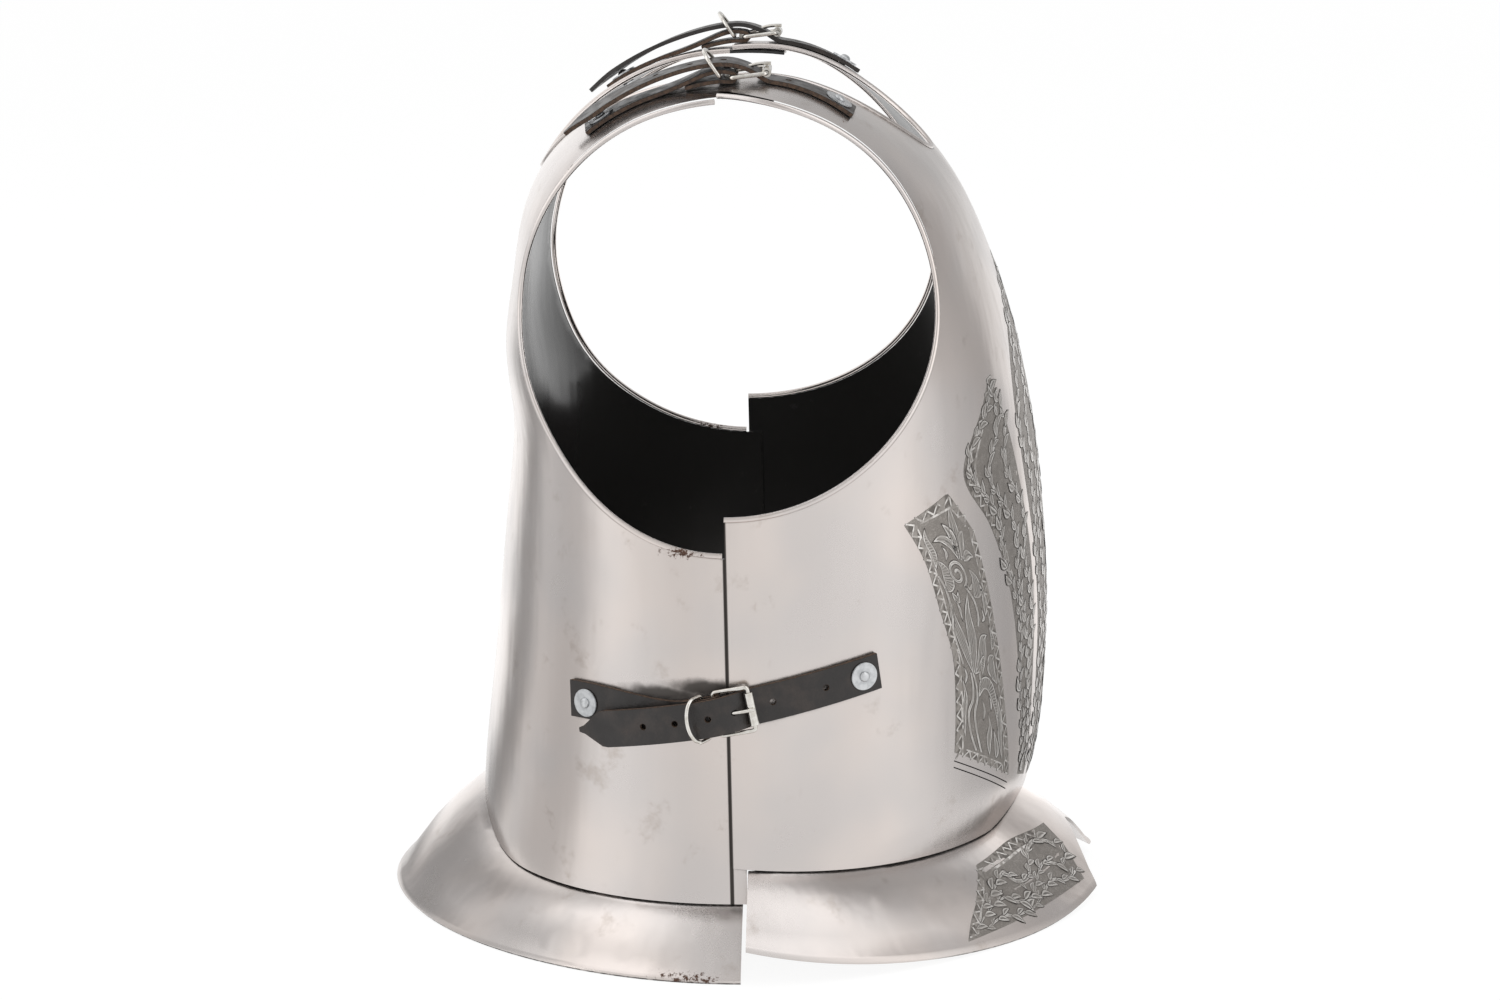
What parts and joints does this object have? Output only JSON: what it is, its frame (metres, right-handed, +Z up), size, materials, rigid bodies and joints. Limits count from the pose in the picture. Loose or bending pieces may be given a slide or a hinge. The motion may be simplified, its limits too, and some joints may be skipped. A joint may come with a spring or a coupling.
{
  "type": "cuirass",
  "caption": "Plate armour cuirass: breastplate and backplate with flared skirts, joined by buckled leather straps at the shoulders and sides.",
  "frame": {"origin": "on the floor, on the middle plane, under the middle of the object's length and width", "axes": "+Z up, front of the breastplate towards -Y, the wearer's right towards -X"},
  "size_m": [0.4042, 0.3799, 0.4593],
  "materials": {
    "plate_steel": "polished plate with soft brushed haze, black inside",
    "rim_steel": "polished rolled edge",
    "strap_leather": "dark brown, nearly black, with tan cut edges",
    "buckle_plating": "bright plated wire",
    "rivet_steel": "domed, pale",
    "washer_metal": "pale flat washer"
  },
  "bodies": {
    "back": {"back_shell": "plate_steel", "back_skirt": "plate_steel", "back_arm_rim_right": "rim_steel", "back_arm_rim_left": "rim_steel", "back_neck_rim": "rim_steel", "side_chape_right": "strap_leather", "side_chape_left": "strap_leather", "side_chape_rivet_right": "rivet_steel", "side_chape_rivet_left": "rivet_steel", "side_chape_washer_right": "washer_metal", "side_chape_washer_left": "washer_metal", "shoulder_chape_right": "strap_leather", "shoulder_chape_left": "strap_leather", "shoulder_chape_rivet_right": "rivet_steel", "shoulder_chape_rivet_left": "rivet_steel", "shoulder_chape_washer_right": "washer_metal", "shoulder_chape_washer_left": "washer_metal"},
    "breast": {"breast_shell": "plate_steel", "breast_skirt": "plate_steel", "breast_arm_rim_right": "rim_steel", "breast_arm_rim_left": "rim_steel", "breast_neck_rim": "rim_steel", "side_billet_right": "strap_leather", "side_billet_left": "strap_leather", "side_billet_rivet_right": "rivet_steel", "side_billet_rivet_left": "rivet_steel", "side_billet_washer_right": "washer_metal", "side_billet_washer_left": "washer_metal", "shoulder_billet_right": "strap_leather", "shoulder_billet_left": "strap_leather", "shoulder_billet_rivet_right": "rivet_steel", "shoulder_billet_rivet_left": "rivet_steel", "shoulder_billet_washer_right": "washer_metal", "shoulder_billet_washer_left": "washer_metal"},
    "side_buckle_frame_right": {"side_buckle_frame_right": "buckle_plating"},
    "side_buckle_frame_left": {"side_buckle_frame_left": "buckle_plating"},
    "side_buckle_prong_right": {"side_buckle_prong_right": "buckle_plating"},
    "side_buckle_prong_left": {"side_buckle_prong_left": "buckle_plating"},
    "side_buckle_roller_right": {"side_buckle_roller_right": "buckle_plating"},
    "side_buckle_roller_left": {"side_buckle_roller_left": "buckle_plating"},
    "side_keeper_right": {"side_keeper_right": "buckle_plating"},
    "side_keeper_left": {"side_keeper_left": "buckle_plating"},
    "shoulder_buckle_frame_right": {"shoulder_buckle_frame_right": "buckle_plating"},
    "shoulder_buckle_frame_left": {"shoulder_buckle_frame_left": "buckle_plating"},
    "shoulder_buckle_prong_right": {"shoulder_buckle_prong_right": "buckle_plating"},
    "shoulder_buckle_prong_left": {"shoulder_buckle_prong_left": "buckle_plating"},
    "shoulder_buckle_roller_right": {"shoulder_buckle_roller_right": "buckle_plating"},
    "shoulder_buckle_roller_left": {"shoulder_buckle_roller_left": "buckle_plating"},
    "shoulder_keeper_right": {"shoulder_keeper_right": "buckle_plating"},
    "shoulder_keeper_left": {"shoulder_keeper_left": "buckle_plating"}
  },
  "joints": [
    {"name": "breast_swing", "type": "hinge", "parent": "back", "child": "breast", "pos_m": [0, 0.0122, 0.4436], "axis": [-1, 0, 0], "range_deg": [0, 50], "deforming": ["side_chape_right", "side_chape_left", "side_billet_right", "side_billet_left", "shoulder_chape_right", "shoulder_chape_left", "shoulder_billet_right", "shoulder_billet_left"]},
    {"name": "side_buckle_frame_right_lift", "type": "hinge", "parent": "back", "child": "side_buckle_frame_right", "pos_m": [-0.17009, 0.0105, 0.1331], "axis": [-0.0234, -0.2099, -0.9774], "range_deg": [0, 30]},
    {"name": "side_buckle_prong_right_lift", "type": "hinge", "parent": "side_buckle_frame_right", "child": "side_buckle_prong_right", "pos_m": [-0.17009, 0.0105, 0.1331], "axis": [-0.0234, -0.2099, -0.9774], "range_deg": [0, 90]},
    {"name": "side_buckle_roller_right_spin", "type": "hinge", "parent": "side_buckle_frame_right", "child": "side_buckle_roller_right", "pos_m": [-0.1722, -0.00704, 0.13692], "axis": [0.0234, 0.2099, 0.9774], "continuous": true},
    {"name": "side_keeper_right_tilt", "type": "hinge", "parent": "back", "child": "side_keeper_right", "pos_m": [-0.17017, 0.016, 0.13193], "axis": [-0.0295, -0.2121, -0.9768], "range_deg": [-30, 8]},
    {"name": "side_buckle_frame_left_lift", "type": "hinge", "parent": "back", "child": "side_buckle_frame_left", "pos_m": [0.17009, 0.0105, 0.1331], "axis": [-0.0234, 0.2099, 0.9774], "range_deg": [0, 30]},
    {"name": "side_buckle_prong_left_lift", "type": "hinge", "parent": "side_buckle_frame_left", "child": "side_buckle_prong_left", "pos_m": [0.17009, 0.0105, 0.1331], "axis": [-0.0234, 0.2099, 0.9774], "range_deg": [0, 90]},
    {"name": "side_buckle_roller_left_spin", "type": "hinge", "parent": "side_buckle_frame_left", "child": "side_buckle_roller_left", "pos_m": [0.1722, -0.00704, 0.13692], "axis": [0.0234, -0.2099, -0.9774], "continuous": true},
    {"name": "side_keeper_left_tilt", "type": "hinge", "parent": "back", "child": "side_keeper_left", "pos_m": [0.17017, 0.016, 0.13193], "axis": [-0.0295, 0.2121, 0.9768], "range_deg": [-30, 8]},
    {"name": "shoulder_buckle_frame_right_lift", "type": "hinge", "parent": "breast", "child": "shoulder_buckle_frame_right", "pos_m": [-0.09028, 0.00612, 0.4461], "axis": [-0.9986, -0.0096, -0.0515], "range_deg": [0, 30]},
    {"name": "shoulder_buckle_prong_right_lift", "type": "hinge", "parent": "shoulder_buckle_frame_right", "child": "shoulder_buckle_prong_right", "pos_m": [-0.09028, 0.00612, 0.4461], "axis": [-0.9986, -0.0096, -0.0515], "range_deg": [0, 90]},
    {"name": "shoulder_buckle_roller_right_spin", "type": "hinge", "parent": "shoulder_buckle_frame_right", "child": "shoulder_buckle_roller_right", "pos_m": [-0.09023, -0.01181, 0.44841], "axis": [0.9986, 0.0096, 0.0515], "continuous": true},
    {"name": "shoulder_keeper_right_tilt", "type": "hinge", "parent": "breast", "child": "shoulder_keeper_right", "pos_m": [-0.0903, 0.01153, 0.44643], "axis": [-0.9989, 0.0001, -0.0461], "range_deg": [-30, 8]},
    {"name": "shoulder_buckle_frame_left_lift", "type": "hinge", "parent": "breast", "child": "shoulder_buckle_frame_left", "pos_m": [0.09028, 0.00612, 0.4461], "axis": [-0.9986, 0.0096, 0.0515], "range_deg": [0, 30]},
    {"name": "shoulder_buckle_prong_left_lift", "type": "hinge", "parent": "shoulder_buckle_frame_left", "child": "shoulder_buckle_prong_left", "pos_m": [0.09028, 0.00612, 0.4461], "axis": [-0.9986, 0.0096, 0.0515], "range_deg": [0, 90]},
    {"name": "shoulder_buckle_roller_left_spin", "type": "hinge", "parent": "shoulder_buckle_frame_left", "child": "shoulder_buckle_roller_left", "pos_m": [0.09023, -0.01181, 0.44841], "axis": [0.9986, -0.0096, -0.0515], "continuous": true},
    {"name": "shoulder_keeper_left_tilt", "type": "hinge", "parent": "breast", "child": "shoulder_keeper_left", "pos_m": [0.0903, 0.01153, 0.44643], "axis": [-0.9989, -0.0001, 0.0461], "range_deg": [-30, 8]}
  ]
}
